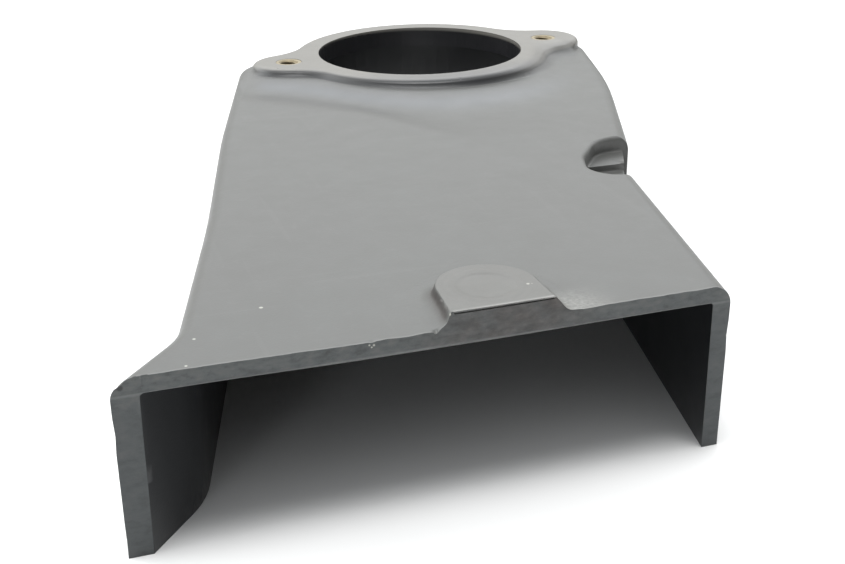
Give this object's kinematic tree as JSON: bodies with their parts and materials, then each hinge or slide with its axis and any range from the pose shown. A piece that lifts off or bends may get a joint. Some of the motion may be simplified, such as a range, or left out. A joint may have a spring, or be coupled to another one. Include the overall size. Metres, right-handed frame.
{
  "type": "camshaft cover",
  "caption": "Moulded black plastic belt and camshaft cover: an open-bottomed shell with a round end, a raised two-bolt flange round a large hole and brass inserts.",
  "frame": {"origin": "middle of the footprint's bounding rectangle, on the plane of the rim that the cover stands on", "axes": "+Z out of the cover's plate, along the axis of its round hole; +Y from the square open end towards the round end; +X to the right seen from the open end"},
  "size_m": [0.153, 0.2073, 0.033],
  "materials": {
    "cover_plastic": "charcoal grey moulded plastic, fine satin grain, lightly worn along the cut edges",
    "insert_brass": "dull aged brass with a darker threaded bore"
  },
  "bodies": {
    "root": {"cover": "cover_plastic", "left_insert": "insert_brass", "right_insert": "insert_brass"}
  },
  "joints": []
}
